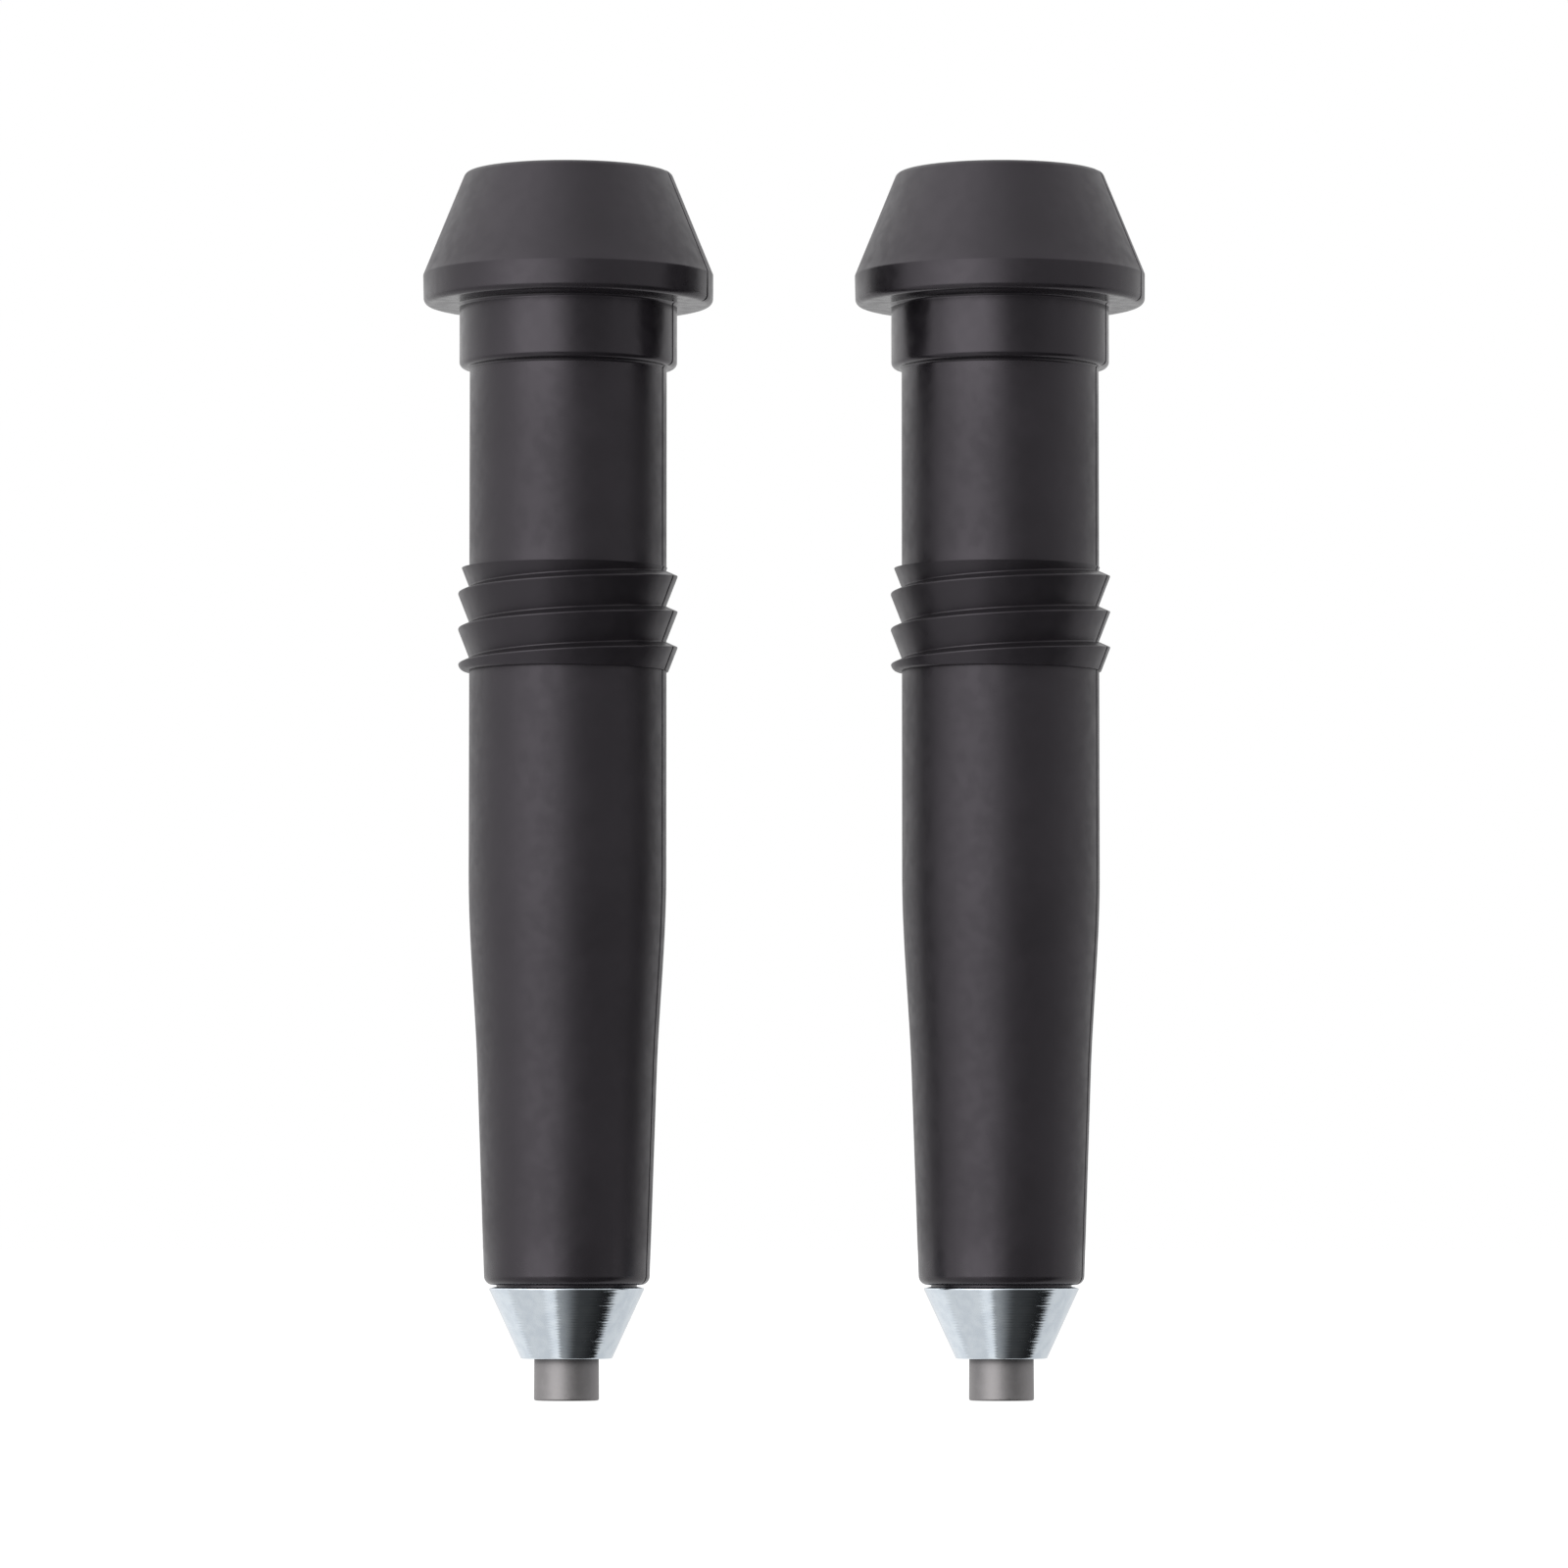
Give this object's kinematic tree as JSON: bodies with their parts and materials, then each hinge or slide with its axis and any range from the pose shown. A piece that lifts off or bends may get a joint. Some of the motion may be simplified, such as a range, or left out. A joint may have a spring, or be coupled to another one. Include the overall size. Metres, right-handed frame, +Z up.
{
  "type": "trekking pole tip pair",
  "caption": "Pair of trekking pole tips: moulded sleeve with flared head, shaft bore and basket thread, zinc-plated steel ferrule and dished hard-metal point.",
  "frame": {"origin": "midway between the two tips' axes, level with the ends of their points", "axes": "+Z up out of the shaft bores, +X from the left tip to the right tip, -Y towards the viewer"},
  "size_m": [0.0558, 0.0224, 0.0948],
  "materials": {
    "tip_plastic": "satin charcoal-black moulded thermoplastic",
    "zinc_plated_steel": "bright bluish zinc plating over fine turning marks",
    "hard_metal": "matte sintered tungsten carbide, mid-grey"
  },
  "bodies": {
    "left_tip": {"left_tip_body": "tip_plastic", "left_ferrule": "zinc_plated_steel", "left_carbide_point": "hard_metal"},
    "right_tip": {"right_tip_body": "tip_plastic", "right_ferrule": "zinc_plated_steel", "right_carbide_point": "hard_metal"}
  },
  "joints": [
    {"name": "right_tip_apart", "type": "slide", "parent": "left_tip", "child": "right_tip", "axis": [1, 0, 0], "range_m": [0, 0.05]}
  ]
}
